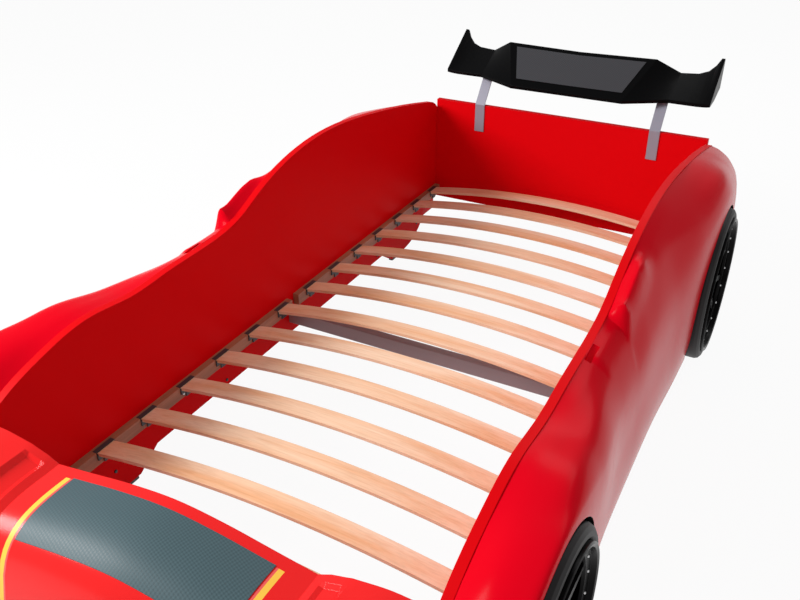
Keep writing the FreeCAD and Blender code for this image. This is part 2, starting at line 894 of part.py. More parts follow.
def bumper_section(x):
    s = nose - bumper_back(x)
    low = bumper_bottom
    high = slat_height + nose_height - 4.0
    w = bumper_wall
    outer = [
        (s - 52, high), (s - 14, high), (s - 2, high - 16), (s, 0.62 * high), (s - 3, low + 24),
        (s - 10, low), (s - 46, low),
    ]
    inner = [
        (s - 46, low + w), (s - 13, low + w), (s - 3 - w, low + 25), (s - w, 0.62 * high),
        (s - 2 - w, high - 17), (s - 15, high - w), (s - 52, high - w),
    ]
    return polygon([floor_place(x, a, z) for a, z in outer + inner])


def bumper_window(x0, x1, z0, z1, slant):
    """A tapered opening through the bumper's face."""
    points = [(x0, z0), (x1 - slant, z0), (x1, z1), (x0, z1)]
    face = Part.Face(polygon([floor_place(x, nose + 20, z) for x, z in points]))
    return face.extrude(V(0, 140, 0))


def grille_window(grow):
    half = grille_half_width + grow
    points = [
        (-half + 26, grille_bottom - grow), (half - 26, grille_bottom - grow),
        (half, grille_bottom + grille_height + grow), (-half, grille_bottom + grille_height + grow),
    ]
    return Part.Face(polygon([floor_place(x, nose + 20, z) for x, z in points])).extrude(V(0, 140, 0))


def bumper_skin(half):
    count = 13
    wires = [bumper_section(-half + 2 * half * i / (count - 1)) for i in range(count)]
    return Part.makeLoft(wires, True, True)


def front_bumper():
    skin = bumper_skin(board_face + bumper_overhang)
    lamp = bumper_window(lamp_inner, lamp_outer, lamp_bottom, lamp_bottom + lamp_height, 30.0)
    behind = block(
        half_width - fit_gap, board_face + bumper_overhang + 1,
        inner_length, board_end + fit_gap, 0, slat_height + nose_height,
    )
    return cut_all(skin, [grille_window(0.0)] + both_sides(lamp) + both_sides(behind))


def grille():
    """Frame and bars that fill the bumper's intake from behind."""
    s = nose
    back, front = s - bumper_wall - 14, s - bumper_wall - 3.0
    outer = grille_window(-fit_gap)
    slab = block(-half_width, half_width, back, front, 0, slat_height + nose_height).common(outer)
    bars = []
    cells = 4
    step = grille_height / cells
    for i in range(cells):
        z = grille_bottom + i * step
        half = grille_half_width - 34
        bars.append(block(-half, half, back - 1, front + 1, z + 5, z + step - 4))
    return cut_all(slab, bars)


def headlamp():
    window = bumper_window(
        lamp_inner + fit_gap, lamp_outer - fit_gap,
        lamp_bottom + fit_gap, lamp_bottom + lamp_height - fit_gap, 30.0,
    )
    count = 7
    wires = []
    for i in range(count):
        x = lamp_inner - 10 + (lamp_outer - lamp_inner + 20) * i / (count - 1)
        s = nose - bumper_back(x)
        top = slat_height + nose_height
        corners = [(s - 12, 0), (s + 1.5, 0), (s + 1.5, top), (s - 12, top)]
        wires.append(polygon([floor_place(x, a, z) for a, z in corners]))
    return Part.makeLoft(wires, True, True).common(window)


# ---------------------------------------------------------------- spoiler

# Half of the spoiler from the middle outwards. Each station: x of the lip and of the
# trailing edge, the lip's distance r behind the headboard's face and its height, and
# the trailing edge's distance and height.
TIP = spoiler_half_width
SPOILER = [
    (0.0, 0.0, -16.0, 400.0, 116.0, 500.0),
    (183.0, 245.0, -16.0, 400.0, 121.0, 504.0),
    (310.0, 316.0, 41.0, 406.0, 165.0, 460.0),
    (TIP - 67.0, TIP - 67.0, 41.0, 406.0, 167.0, 464.0),
    (TIP - 39.0, TIP - 39.0, 41.0, 406.0, 172.0, 474.0),
    (TIP - 21.0, TIP - 21.0, 41.0, 407.0, 180.0, 492.0),
    (TIP - 9.0, TIP - 9.0, 41.0, 408.0, spoiler_reach, 513.0),
    (TIP, TIP, 41.0, 410.0, spoiler_reach, 513.0),
]


def spoiler_section(station):
    lip_x, rear_x, lip_r, lip_h, rear_r, rear_h = station
    length = rear_r - lip_r
    points = [
        (0.0, lip_h - lip), (0.0, lip_h), (1.0, rear_h), (1.0 + 8.0 / length, rear_h - 4.0),
        (1.0, lip_h + 12.0), (0.45, lip_h - lip + 3.0),
    ]
    wire_points = []
    for part, h in points:
        x = lip_x + (rear_x - lip_x) * min(part, 1.0)
        wire_points.append(place(x, -(lip_r + length * part), h))
    return polygon(wire_points)


def spoiler_hollow(station, inset):
    """Section of the space under the ramp, narrower than the station by the inset."""
    lip_x, rear_x, lip_r, lip_h, rear_r, rear_h = station
    slope = (rear_h - lip_h) / (rear_r - lip_r)
    near, far = lip_r + 2 * spoiler_wall, rear_r - 2 * spoiler_wall
    drop = spoiler_wall * math.hypot(1.0, slope)
    corners = [
        (near, lip_h - 2 * lip), (near, lip_h + slope * (near - lip_r) - drop),
        (far, lip_h + slope * (far - lip_r) - drop), (far, lip_h - 2 * lip),
    ]
    points = []
    for r, h in corners:
        part = (r - lip_r) / (rear_r - lip_r)
        points.append(place(max(lip_x + (rear_x - lip_x) * part - inset, 0.0), -r, h))
    return polygon(points)


def spoiler():
    half = Part.makeLoft([spoiler_section(st) for st in SPOILER], True, True)
    hollow = Part.makeLoft([spoiler_hollow(SPOILER[0], 0.0), spoiler_hollow(SPOILER[1], 12.0)], True, True)
    half = half.cut(hollow)
    return half.fuse(mirrored(half)).removeSplitter()


def spoiler_bracket():
    """Bent flat strip from the headboard's inner face to the spoiler's underside."""
    t = strip_thickness
    h0 = headboard_height - strip_foot
    h1 = headboard_height + 2.0
    r2, h2 = 60.0, 395.5
    lean = math.atan2(r2, h2 - t - h1)
    off = t * math.tan(lean / 2)
    outer = [(-t, h0), (-t, h1 + off), (r2 - t * 0.9, h2), (r2 + strip_tab, h2)]
    inner = [(r2 + strip_tab, h2 - t), (r2 + 0.5, h2 - t), (0.0, h1), (0.0, h0)]
    points = [place(strip_x - strip_width / 2, -r, h) for r, h in outer + inner]
    shape = Part.Face(polygon(points)).extrude(V(strip_width, 0, 0))
    radius = spoiler_bolt[0] / 2 + hole_gap
    reach = spoiler_bolt[1] + hole_gap
    tools = [Part.makeCylinder(radius, reach, p, FORWARD) for p in spoiler_bolt_places()]
    return cut_all(shape, tools)


# ---------------------------------------------------------------- floor glides

def glide(start):
    length = foot_length - 10.0
    pad = block(
        half_width + 1.0, board_face - 1.0, start + 5.0, start + 5.0 + length, 0, glide_height
    )
    upright = [e for e in pad.Edges if abs(e.Length - glide_height) < 0.01]
    return pad.makeFillet(4.0, upright)


# ---------------------------------------------------------------- all sub-parts

def parts():
    result = {}
    board_right = side_board()
    result["side_board_right"] = board_right
    result["side_board_left"] = mirrored(board_right)
    result["headboard"] = headboard()
    result["footboard"] = footboard()

    shell = side_shell()
    result["side_shell_right"] = shell
    result["side_shell_left"] = mirrored(shell)

    for name, start in zip(("rear", "front"), rail_starts()):
        half = rail(start)
        result["rail_right_" + name] = half
        result["rail_left_" + name] = mirrored(half)
        caps = holders(start)
        result["slat_holders_right_" + name] = caps
        result["slat_holders_left_" + name] = mirrored(caps)
    for i, s in enumerate(slat_places()):
        result["slat_%02d" % (i + 1)] = slat(s)

    result["crossbar"] = crossbar()
    bracket = crossbar_bracket()
    result["crossbar_bracket_right"] = bracket
    result["crossbar_bracket_left"] = mirrored(bracket)

    for end, p in zip(("rear", "front"), wheel_places()):
        result["tyre_%s_right" % end] = tyre(p)
        result["tyre_%s_left" % end] = mirrored(tyre(p))
        one_rim = rim(p)
        result["rim_%s_right" % end] = one_rim
        result["rim_%s_left" % end] = mirrored(one_rim)
    blocks = [wheel_block(p) for p in wheel_places()]
    result["wheel_blocks"] = group(blocks + [mirrored(b) for b in blocks])
    bolts = [wheel_bolt_solid(p) for p in wheel_places()]
    result["wheel_bolts"] = group(bolts + [mirrored(b) for b in bolts])

    result["bonnet"] = bonnet()
    result["bonnet_panel"] = bonnet_panel()
    result["front_bumper"] = front_bumper()
    result["grille"] = grille()
    lamp = headlamp()
    result["headlamp_right"] = lamp
    result["headlamp_left"] = mirrored(lamp)

    result["spoiler"] = spoiler()
    strip = spoiler_bracket()
    result["spoiler_bracket_right"] = strip
    result["spoiler_bracket_left"] = mirrored(strip)

    corner = [screw(corner_screw, p, -RIGHT) for p in corner_screw_places()]
    result["corner_screws"] = group(corner + [mirrored(b) for b in corner])
    pegs = [dowel(p) for p in dowel_places()]
    result["dowels"] = group(pegs + [mirrored(b) for b in pegs])
    railed = [sunk_screw(rail_screw, p, RIGHT) for p in rail_screw_places()]
    result["rail_screws"] = group(railed + [mirrored(b) for b in railed])
    shelled = [screw(shell_screw, p, RIGHT) for p in shell_screw_places()]
    result["shell_screws"] = group(shelled + [mirrored(b) for b in shelled])
    barred = [screw(crossbar_bolt, p, RIGHT) for p in crossbar_bolt_places()]
    result["crossbar_bolts"] = group(barred + [mirrored(b) for b in barred])
    backed = [screw(spoiler_bolt, p, FORWARD) for p in spoiler_bolt_places()]
    result["spoiler_bolts"] = group(backed + [mirrored(b) for b in backed])

    glides = [glide(rear_foot), glide(inner_length - front_foot - foot_length)]
    result["floor_glides"] = group(glides + [mirrored(g) for g in glides])
    return result


def main():
    os.makedirs("parts", exist_ok=True)
    for name, shape in parts().items():
        solids = shape.Solids
        shape = solids[0] if len(solids) == 1 else Part.makeCompound(solids)
        print("%-26s %2d solids, valid %s, %.0f mm3" % (name, len(solids), shape.isValid(), shape.Volume))
        shape.exportStep("parts/%s.step" % name)


main()
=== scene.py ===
import math

import bpy
from bpy.props import FloatProperty, FloatVectorProperty, IntProperty, PointerProperty
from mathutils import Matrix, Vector


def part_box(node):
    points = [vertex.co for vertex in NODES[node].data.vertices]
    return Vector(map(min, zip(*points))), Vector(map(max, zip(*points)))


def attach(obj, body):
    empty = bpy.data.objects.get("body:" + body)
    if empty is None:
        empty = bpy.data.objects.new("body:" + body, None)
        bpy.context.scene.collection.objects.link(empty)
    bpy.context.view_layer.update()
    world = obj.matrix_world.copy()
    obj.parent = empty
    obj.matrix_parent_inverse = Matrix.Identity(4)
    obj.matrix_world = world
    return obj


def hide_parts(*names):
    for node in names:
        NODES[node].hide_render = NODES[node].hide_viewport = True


bl_info = {
    "name": "Racing car bed",
    "version": (1, 0, 0),
    "blender": (4, 5, 0),
    "location": "3D View > Sidebar > Car bed",
    "description": "Dresses the CAD model of a child's racing car bed",
    "category": "Object",
}

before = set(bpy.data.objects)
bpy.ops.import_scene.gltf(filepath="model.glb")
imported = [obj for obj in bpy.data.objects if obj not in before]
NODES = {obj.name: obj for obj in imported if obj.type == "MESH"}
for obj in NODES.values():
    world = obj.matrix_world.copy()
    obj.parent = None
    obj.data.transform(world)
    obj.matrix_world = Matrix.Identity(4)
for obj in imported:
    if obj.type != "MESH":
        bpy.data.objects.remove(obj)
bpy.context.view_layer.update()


def linear(red, green, blue):
    """A colour written in display values 0 to 255, as linear light."""
    def channel(v):
        v = v / 255.0
        return v / 12.92 if v <= 0.04045 else ((v + 0.055) / 1.055) ** 2.4
    return (channel(red), channel(green), channel(blue))


# ---------------------------------------------------------------- settings

def colour(name, text, default):
    return FloatVectorProperty(
        name=name, description=text, subtype="COLOR", size=3, min=0.0, max=1.0, default=default
    )


def length(name, text, default, low=0.0, high=5.0):
    return FloatProperty(
        name=name, description=text, unit="LENGTH", subtype="DISTANCE",
        default=default, min=low, max=high, precision=4,
    )


class CarBedColours(bpy.types.PropertyGroup):
    lacquer: colour("Lacquer", "Red lacquer of the flat boards", linear(222, 2, 12))
    shell: colour("Shell", "Glossy red of the moulded side shells", linear(222, 2, 26))
    bonnet: colour("Bonnet", "Glossy red of the bonnet", linear(238, 36, 36))
    slat: colour("Slat", "Light beech of the slats", linear(252, 220, 190))
    slat_grain: colour("Slat grain", "Darker grain lines of the slats", linear(240, 184, 138))
    rail: colour("Rail", "Stained wood of the rails", linear(178, 116, 86))
    steel: colour("Crossbar", "Grey powder coat of the crossbar", linear(150, 132, 136))
    strip: colour("Bracket", "Silver grey of the spoiler brackets", linear(150, 150, 164))
    black: colour("Black plastic", "Black of spoiler, rims and grille", linear(6, 6, 7))
    tyre: colour("Tyre", "Dark grey black of the tyres", linear(26, 23, 24))
    panel: colour("Panel", "Dark teal of the bonnet's woven panel", linear(70, 92, 98))
    stripe: colour("Stripe", "Yellow stripe beside the panel", linear(252, 200, 78))
    hem: colour("Hem", "Pink line between the panel and the stripe", linear(240, 96, 92))
    film: colour("Spoiler film", "Dark grey of the spoiler's carbon look panel", linear(58, 58, 62))


class CarBedSizes(bpy.types.PropertyGroup):
    stripe_offset: length("Stripe offset", "Middle of the bed to the yellow stripe", 0.2175)
    stripe_width: length("Stripe width", "Width of the yellow stripe", 0.0105)
    stripe_start: length("Stripe start", "Bonnet's rear edge to the stripe's end", 0.024)
    hem_width: length("Hem width", "Width of the pink line beside the stripe", 0.004)
    stud_count: IntProperty(
        name="Studs", description="Bright studs round one rim", default=20, min=0, max=60
    )
    stud_radius: length("Stud radius", "Radius of one stud's head", 0.0032)
    stud_circle: length("Stud circle", "Radius of the circle of studs", 0.168)
    weave: length("Weave", "Width of one cell of the woven look film", 0.004, 0.001, 0.05)
    grain: FloatProperty(
        name="Grain", description="How strongly wood grain shows", default=0.6, min=0.0, max=1.0
    )


def colours():
    return bpy.context.scene.car_bed_colours


def paint(name):
    """One of the panel's colours."""
    return tuple(getattr(colours(), name))


def sizes():
    return bpy.context.scene.car_bed_sizes


# ---------------------------------------------------------------- shader maths

class Sock:
    """A socket of single values that can be used in sums; each operation adds a Math node."""

    def __init__(self, graph, socket):
        self.graph = graph
        self.socket = socket

    def _math(self, operation, a, b=0.0):
        return self.graph.add("ShaderNodeMath", {"operation": operation}, {0: a, 1: b})

    def __add__(self, other):
        return self._math("ADD", self, other)

    __radd__ = __add__

    def __sub__(self, other):
        return self._math("SUBTRACT", self, other)

    def __rsub__(self, other):
        return self._math("SUBTRACT", other, self)

    def __mul__(self, other):
        return self._math("MULTIPLY", self, other)

    __rmul__ = __mul__

    def __lt__(self, other):
        return self._math("LESS_THAN", self, other)

    def __gt__(self, other):
        return self._math("GREATER_THAN", self, other)

    def sine(self):
        return self._math("SINE", self)

    def size(self):
        return self._math("ABSOLUTE", self)

    def between(self, low, high):
        return (self > low) * (self < high)


class Graph:
    """Node tree of one new material, or of the world."""

    def __init__(self, name, world=False):
        store = bpy.data.worlds if world else bpy.data.materials
        if name in store:
            store.remove(store[name])
        self.owner = store.new(name)
        self.owner.use_nodes = True
        self.tree = self.owner.node_tree
        self.tree.nodes.clear()
        self.output = self.tree.nodes.new("ShaderNodeOutput" + ("World" if world else "Material"))

    def add(self, kind, settings=None, sockets=None, out=0):
        """A node of a kind, with its settings first and then its sockets' values or links."""
        node = self.tree.nodes.new(kind)
        for key, value in (settings or {}).items():
            if key == "stops":
                self._stops(node.color_ramp, value)
            else:
                setattr(node, key, value)
        for key, value in (sockets or {}).items():
            self._feed(node.inputs[key], value)
        return Sock(self, node.outputs[out])

    def _stops(self, ramp, stops):
        while len(ramp.elements) < len(stops):
            ramp.elements.new(0.5)
        for element, (place, shade) in zip(ramp.elements, stops):
            element.position = place
            element.color = tuple(shade) + (1.0,)

    def _feed(self, target, value):
        if isinstance(value, Sock):
            self.tree.links.new(value.socket, target)
        elif target.type == "RGBA" and len(value) == 3:
            target.default_value = tuple(value) + (1.0,)
        else:
            target.default_value = value

    def mix(self, share, a, b, blend="MIX"):
        """Colour mix of a and b."""
        settings = {"data_type": "RGBA", "blend_type": blend}
        return self.add("ShaderNodeMix", settings, {0: share, 6: a, 7: b}, out=2)

    def place(self, scale=(1.0, 1.0, 1.0)):
        """A point in the object's own space, in metres, stretched along the axes."""
        spot = self.add("ShaderNodeTexCoord", out="Object")
        return self.add("ShaderNodeMapping", {}, {"Vector": spot, "Scale": scale})

    def axes(self):
        """Separate x, y and z of the object's own space."""
        spot = self.add("ShaderNodeTexCoord", out="Object")
        return [self.add("ShaderNodeSeparateXYZ", {}, {0: spot}, out=i) for i in range(3)]

    def noise(self, vector, scale, detail=3.0, rough=0.5):
        return self.add("ShaderNodeTexNoise", {}, {
            "Vector": vector, "Scale": scale, "Detail": detail, "Roughness": rough,
        })

    def bump(self, height, strength, distance, edge=None):
        """Normal from a height; edge is the radius in metres that sharp edges seem to have."""
        sockets = {"Height": height, "Strength": strength, "Distance": distance}
        if edge is not None:
            sockets["Normal"] = self.add("ShaderNodeBevel", {"samples": 6}, {"Radius": edge})
        return self.add("ShaderNodeBump", {}, sockets)

    def show(self, shader):
        self.tree.links.new(shader.socket, self.output.inputs["Surface"])
        return self.owner

    def surface(self, **values):
        """Principled surface; keys are socket names with underscores."""
        sockets = {key.replace("_", " "): value for key, value in values.items()}
        return self.show(self.add("ShaderNodeBsdfPrincipled", {}, sockets))


# ---------------------------------------------------------------- finishes

CLOUD, DUST, PEEL = 2.2, 22.0, 60.0    # noise scales of a gloss moulding
PEEL_DEPTH = 0.0012                    # depth of its orange peel, in metres


def darker(base, share):
    return tuple(c * share for c in base)


def lacquered_board():
    """Smooth red lacquer with a faint orange peel."""
    g = Graph("lacquered_board")
    spot = g.place()
    cloud = g.noise(spot, 3.0, 2.0)
    wear = g.noise(spot, 40.0, 5.0)
    peel = g.noise(spot, 260.0, 2.0)
    base = paint("lacquer")
    return g.surface(
        Base_Color=g.mix(cloud * 0.25, base, darker(base, 0.86)),
        Roughness=0.42 + cloud * 0.08 + wear * 0.06,
        Normal=g.bump(peel, strength=0.05, distance=0.0006, edge=0.0016),
        Specular_IOR_Level=0.05,
    )


def gloss_plastic(name, base, peel=0.04, edge=0.002, rough=0.16, shine=0.14, bend=1.5):
    """Glossy moulding; bend is its index of refraction."""
    g = Graph(name)
    spot = g.place()
    cloud = g.noise(spot, CLOUD, 2.0)
    return g.surface(
        Base_Color=g.mix(cloud * 0.2, base, darker(base, 0.88)),
        Roughness=rough + cloud * 0.05 + g.noise(spot, DUST, 6.0) * 0.06,
        Normal=g.bump(g.noise(spot, PEEL, 2.0), peel, PEEL_DEPTH, edge),
        Specular_IOR_Level=shine,
        IOR=bend,
    )


def shell_gloss():
    """Glossy red, with painted shade: the pockets behind the wheel arches are coloured black for
    the shade that falls in them.
    """
    g = Graph("shell_gloss")
    spot = g.place()
    x, y, z = g.axes()
    base = paint("shell")
    red = g.mix(g.noise(spot, CLOUD, 2.0) * 0.2, base, darker(base, 0.88))
    height = z - WHEEL_CENTRE / 1000.0
    near = 0.0
    for s in AXLES:
        along = y - (HEAD_Y - s) / 1000.0
        near = near + ((along * along + height * height) < ((ARCH_RADIUS + 0.5) / 1000.0) ** 2)
    # Painted shade: the pocket walls behind each wheel arch turn black and rough, standing in for
    # the shade there.
    arch_painted_shade = near * (x.size() > (BOARD_FACE + POCKET - 1.0) / 1000.0)
    return g.surface(
        Base_Color=g.mix(arch_painted_shade, red, paint("black")),
        Roughness=0.18 + g.noise(spot, DUST, 6.0) * 0.08 + arch_painted_shade * 0.4,
        Normal=g.bump(g.noise(spot, PEEL, 2.0), strength=0.03, distance=PEEL_DEPTH, edge=0.002),
        Specular_IOR_Level=0.12,
        IOR=1.25,
    )


def bonnet_finish():
    """Glossy red with a yellow stripe and a pink line on each side of the panel."""
    g = Graph("bonnet_finish")
    spot = g.place()
    x, y, _ = g.axes()
    cloud = g.noise(spot, CLOUD, 2.0)
    base = paint("bonnet")
    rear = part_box("bonnet")[1].y - sizes().stripe_start
    ahead = y < rear
    edge = sizes().stripe_offset - sizes().stripe_width / 2
    stripe = x.size().between(edge, edge + sizes().stripe_width) * ahead
    hem = x.size().between(edge - sizes().hem_width, edge) * ahead
    shade = g.mix(cloud * 0.2, base, darker(base, 0.88))
    shade = g.mix(stripe, shade, paint("stripe"))
    return g.surface(
        Base_Color=g.mix(hem, shade, paint("hem")),
        Roughness=0.16 + cloud * 0.06 + stripe * 0.12,
        Normal=g.bump(g.noise(spot, PEEL, 2.0), strength=0.04, distance=PEEL_DEPTH, edge=0.0015),
        Specular_IOR_Level=0.18,
    )


def wood(name, light, dark, scale, rough, along="X"):
    """Straight grained wood with fine pores; the grain runs along one axis."""
    g = Graph(name)
    stretch = {"X": (1.2, 22.0, 22.0), "Y": (22.0, 1.2, 22.0)}[along]
    wide = g.noise(g.place(stretch), 1.4 * scale, 4.0, 0.55)
    fine = g.noise(g.place(tuple(v * 3.2 for v in stretch)), 3.4 * scale, 3.0, 0.6)
    flecks = g.add("ShaderNodeTexVoronoi", {"feature": "F1"}, {
        "Vector": g.place(tuple(v * 5.0 for v in stretch)), "Scale": 2.6 * scale,
    })
    tones = [(0.32, light), (0.68, dark)]
    streaks = [(0.42, (1.0, 1.0, 1.0)), (0.75, (0.80, 0.72, 0.64))]
    tone = g.add("ShaderNodeValToRGB", {"stops": tones}, {"Fac": wide})
    streak = g.add("ShaderNodeValToRGB", {"stops": streaks}, {"Fac": fine})
    pores = g.add("ShaderNodeMapRange", {}, {"Value": flecks, 1: 0.05, 2: 0.16, 3: 1.0, 4: 0.0})
    grained = g.mix(sizes().grain, tone, streak, "MULTIPLY")
    return g.surface(
        Base_Color=g.mix(pores * 0.22, grained, darker(dark, 0.6)),
        Roughness=rough + fine * 0.14,
        Normal=g.bump(fine - pores * 0.5, strength=0.12, distance=0.0006, edge=0.0012),
        Specular_IOR_Level=0.3,
    )


def moulded(name, base, rough):
    """Fine grained moulded plastic."""
    g = Graph(name)
    spot = g.place()
    cloud = g.noise(spot, 9.0, 3.0)
    return g.surface(
        Base_Color=g.mix(cloud * 0.35, base, tuple(min(1.0, c * 1.6 + 0.004) for c in base)),
        Roughness=rough + cloud * 0.12,
        Normal=g.bump(g.noise(spot, 900.0, 2.0), strength=0.15, distance=0.0003, edge=0.0015),
    )


def powder_coat(name, base, rough=0.42):
    """Powder coated steel."""
    g = Graph(name)
    spot = g.place()
    cloud = g.noise(spot, 6.0, 3.0)
    return g.surface(
        Base_Color=g.mix(cloud * 0.4, base, darker(base, 0.78)),
        Roughness=rough + cloud * 0.12,
        Normal=g.bump(g.noise(spot, 420.0, 2.0), strength=0.2, distance=0.0004, edge=0.001),
        Metallic=0.15,
    )


def plated_steel(name):
    """Zinc plated steel with spots of dull plating."""
    g = Graph(name)
    brushed = g.noise(g.place((1.0, 1.0, 6.0)), 300.0, 3.0)
    spots = g.noise(g.place(), 35.0, 5.0)
    return g.surface(
        Base_Color=g.mix(spots * 0.5, (0.62, 0.62, 0.63), (0.48, 0.47, 0.45)),
        Roughness=0.22 + brushed * 0.16,
        Normal=g.bump(brushed, strength=0.1, distance=0.0002),
        Metallic=1.0,
    )


def woven_film(name, base, contrast):
    """Small woven squares in a twill, as on carbon look film."""
    g = Graph(name)
    x, y, _ = g.axes()
    turn = math.pi / sizes().weave
    twill = ((x + y * 0.6) * turn).sine()
    cross = ((y - x * 0.35) * turn).sine()
    check = (twill * cross) * 0.5 + 0.5
    cloud = g.noise(g.place(), 5.0, 3.0)
    shade = g.mix(check, darker(base, 1 - contrast), darker(base, 1 + contrast))
    return g.surface(
        Base_Color=g.mix(cloud * 0.35, shade, darker(base, 0.82)),
        Roughness=0.42 + check * 0.14,
        Normal=g.bump(check, strength=0.25, distance=0.0003),
        Specular_IOR_Level=0.35,
    )


def lens():
    """Clear white moulded lens with fine upright ribs."""
    g = Graph("lens")
    ribs = (g.axes()[0] * 900.0).sine() * 0.5 + 0.5
    cloud = g.noise(g.place(), 14.0, 2.0)
    return g.surface(
        Base_Color=g.mix(cloud * 0.3, linear(228, 232, 238), linear(196, 202, 210)),
        Roughness=0.10 + cloud * 0.06,
        Normal=g.bump(ribs, strength=0.3, distance=0.0006, edge=0.002),
        Coat_Weight=0.6,
        Coat_Roughness=0.04,
    )


def tyre_finish():
    """Satin moulded tyre with a fine grain."""
    g = Graph("tyre_finish")
    spot = g.place()
    cloud = g.noise(spot, 7.0, 4.0)
    base = paint("tyre")
    return g.surface(
        Base_Color=g.mix(cloud * 0.5, base, tuple(c * 1.5 + 0.003 for c in base)),
        Roughness=0.46 + cloud * 0.16,
        Normal=g.bump(g.noise(spot, 700.0, 2.0), strength=0.2, distance=0.0004, edge=0.002),
        Specular_IOR_Level=0.3,
    )


def dress(names, finish):
    """Put one finish on all the slots of the named CAD nodes."""
    for name in names:
        if name not in NODES:
            raise RuntimeError("the model has no node named %s" % name)
        slots = NODES[name].material_slots
        if not slots:
            NODES[name].data.materials.append(finish)
        for slot in slots:
            slot.material = finish


def named(*starts):
    """Names of the CAD nodes that begin with any of the words."""
    found = [n for n in sorted(NODES) if n.startswith(starts)]
    if not found:
        raise RuntimeError("no node starts with %s" % (starts,))
    return found


# ---------------------------------------------------------------- meshes

def new_piece(name, points, faces, finish, slot, smooth=None):
    """A piece on the root body; edges sharper than smooth, in degrees, stay sharp."""
    old = bpy.data.objects.get(name)
    if old:
        bpy.data.objects.remove(old)
    mesh = bpy.data.meshes.new(name)
    mesh.from_pydata([tuple(p) for p in points], [], faces)
    mesh.validate()
    mesh.update()
    piece = bpy.data.objects.new(name, mesh)
    bpy.context.scene.collection.objects.link(piece)
    mesh.materials.append(finish)
    if smooth is not None:
        shade_smooth(piece, smooth)
    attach(piece, "root")
    return piece


def solid_cut(piece, cutters):
    """Cut the closed cutter meshes out of a piece and keep the result as its mesh."""
    for cutter in cutters:
        step = piece.modifiers.new("cut", "BOOLEAN")
        step.operation = "DIFFERENCE"
        step.solver = "EXACT"
        step.object = cutter
        graph = bpy.context.evaluated_depsgraph_get()
        mesh = bpy.data.meshes.new_from_object(piece.evaluated_get(graph))
        piece.modifiers.clear()
        old = piece.data
        piece.data = mesh
        bpy.data.meshes.remove(old)
        bpy.data.objects.remove(cutter)


def shade_smooth(piece, angle):
    """Smooth shading, with edges sharper than the angle, in degrees, left sharp."""
    for face in piece.data.polygons:
        face.use_smooth = True
    piece.data.set_sharp_from_angle(angle=math.radians(angle))


def skinned(loops):
    """Faces of a closed form through loops of equally many points: two caps and the sides."""
    faces = [tuple(loops[0]), tuple(reversed(loops[-1]))]
    for near, far in zip(loops, loops[1:]):
        for i in range(len(near)):
            j = (i + 1) % len(near)
            faces.append((near[i], far[i], far[j], near[j]))
    return faces


def turned(faces, turn):
    """Faces with their other side out, where turn is true."""
    return [tuple(reversed(face)) for face in faces] if turn else faces


def cutter_object(name, points, faces):
    """A closed mesh for a cut, which isn't a piece."""
    mesh = bpy.data.meshes.new(name)
    mesh.from_pydata([tuple(p) for p in points], [], faces)
    mesh.update()
    cutter = bpy.data.objects.new(name, mesh)
    bpy.context.scene.collection.objects.link(cutter)
    return cutter


def drum(side, s, radius, near, far, count=144):
    """Closed cylinder across the bed, between two distances from the board's face."""
    points = []
    for out in (near, far):
        for i in range(count):
            angle = 2 * math.pi * i / count
            z = WHEEL_CENTRE + radius * math.cos(angle)
            points.append(spot(side, out, s - radius * math.sin(angle), z))
    return cutter_object("arch_cutter", points, skinned([range(count), range(count, 2 * count)]))


# ---------------------------------------------------------------- the bed's own measures, mm

BOARD_FACE = 473.0           # middle of the bed to a side board's outer face
HEAD_Y = 977.5               # headboard's inner face, from the middle of the bed
SLAT_HEIGHT = 165.0          # the slats' ends off the floor
INNER_LENGTH = 1905.0        # headboard to footboard; s below runs from the headboard too
BOARD_END, NOSE = 2080.0, 2145.0
AXLES = (414.0, 1761.0)
WHEEL_CENTRE = 218.0
ARCH_RADIUS = 219.0
ARCH_LIP = 14.0              # shell left round a wheel arch
POCKET = 72.0                # board's outer face to the back of a wheel arch
SILL = 36.0
REAR_SHOULDER, FRONT_SHOULDER, NOSE_TOP = 314.0, 212.0, 62.0    # board's ends over the slats
CREST, BELT = 411.0, 291.0   # side board's highest and waist height, over the slats
TOP_EDGE_DROP = 1.5          # shell's inner edge under the board's top edge
FENDER_BLEND = 16.0
SHELL_FOOT = 60.0            # where the shell's underside meets the board
REAR_ROUND, REAR_WIDTH = 34.0, 0.80    # length of its rounded rear end, share of its width there
SCOOP_FRONT, SCOOP_LENGTH, SCOOP_HEIGHT, SCOOP_FACE = 1150.0, 220.0, 48.0, 15.0
SCOOP_MOUTH = 1292.0         # headboard to the front of the low ridge before the scoop
SLOT_NEAR, SLOT_FAR, SLOT_BACK, SLOT_AHEAD = 2.0, 15.0, 50.0, 6.0
CORNER_LENGTH, CORNER_DROP, CORNER_START = 65.0, 58.0, 47.0
CROWN, CREASE, CREASE_X, FENDER = 235.0, 202.0, 266.0, 233.0
RECESS_X, RECESS_WIDTH, RECESS_START, RECESS_DEPTH = 281.0, 44.0, 16.0, 7.0
BONNET_EDGE, BONNET_WALL = 454.7, 4.0
HOOK_GAP, HOOK_TOP, HOOK_DROP = 18.3, 2.0, 24.0
PANEL_HALF_WIDTH, PANEL_SETBACK, PANEL_LENGTH = 206.0, 22.0, 130.0
PANEL_LIFT, PANEL_FILM = 0.1, 1.1
# Spoiler's ramp: half its width and what it gains to the rear, its lip behind the headboard's
# inner face, its depth, its lip over the slats, its rise, and what its ends add to both.
RAMP_HALF, RAMP_FLARE = 183.0, 62.0
RAMP_FRONT, RAMP_DEPTH, RAMP_LOW, RAMP_RISE = -16.0, 132.0, 400.0, 100.0
RAMP_END_BACK, RAMP_END_UP = 5.0, 4.0
FILM_ACROSS, FILM_ALONG, FILM_LIFTS = 0.9, (0.17, 0.91), (0.2, 1.2)
STUD_BASE = 124.0            # board's outer face to the rim under a stud's head
STUD_PROFILE = ((-2.0, 1.0), (0.5, 1.0), (2.2, 0.62))    # distance over it, share of the radius


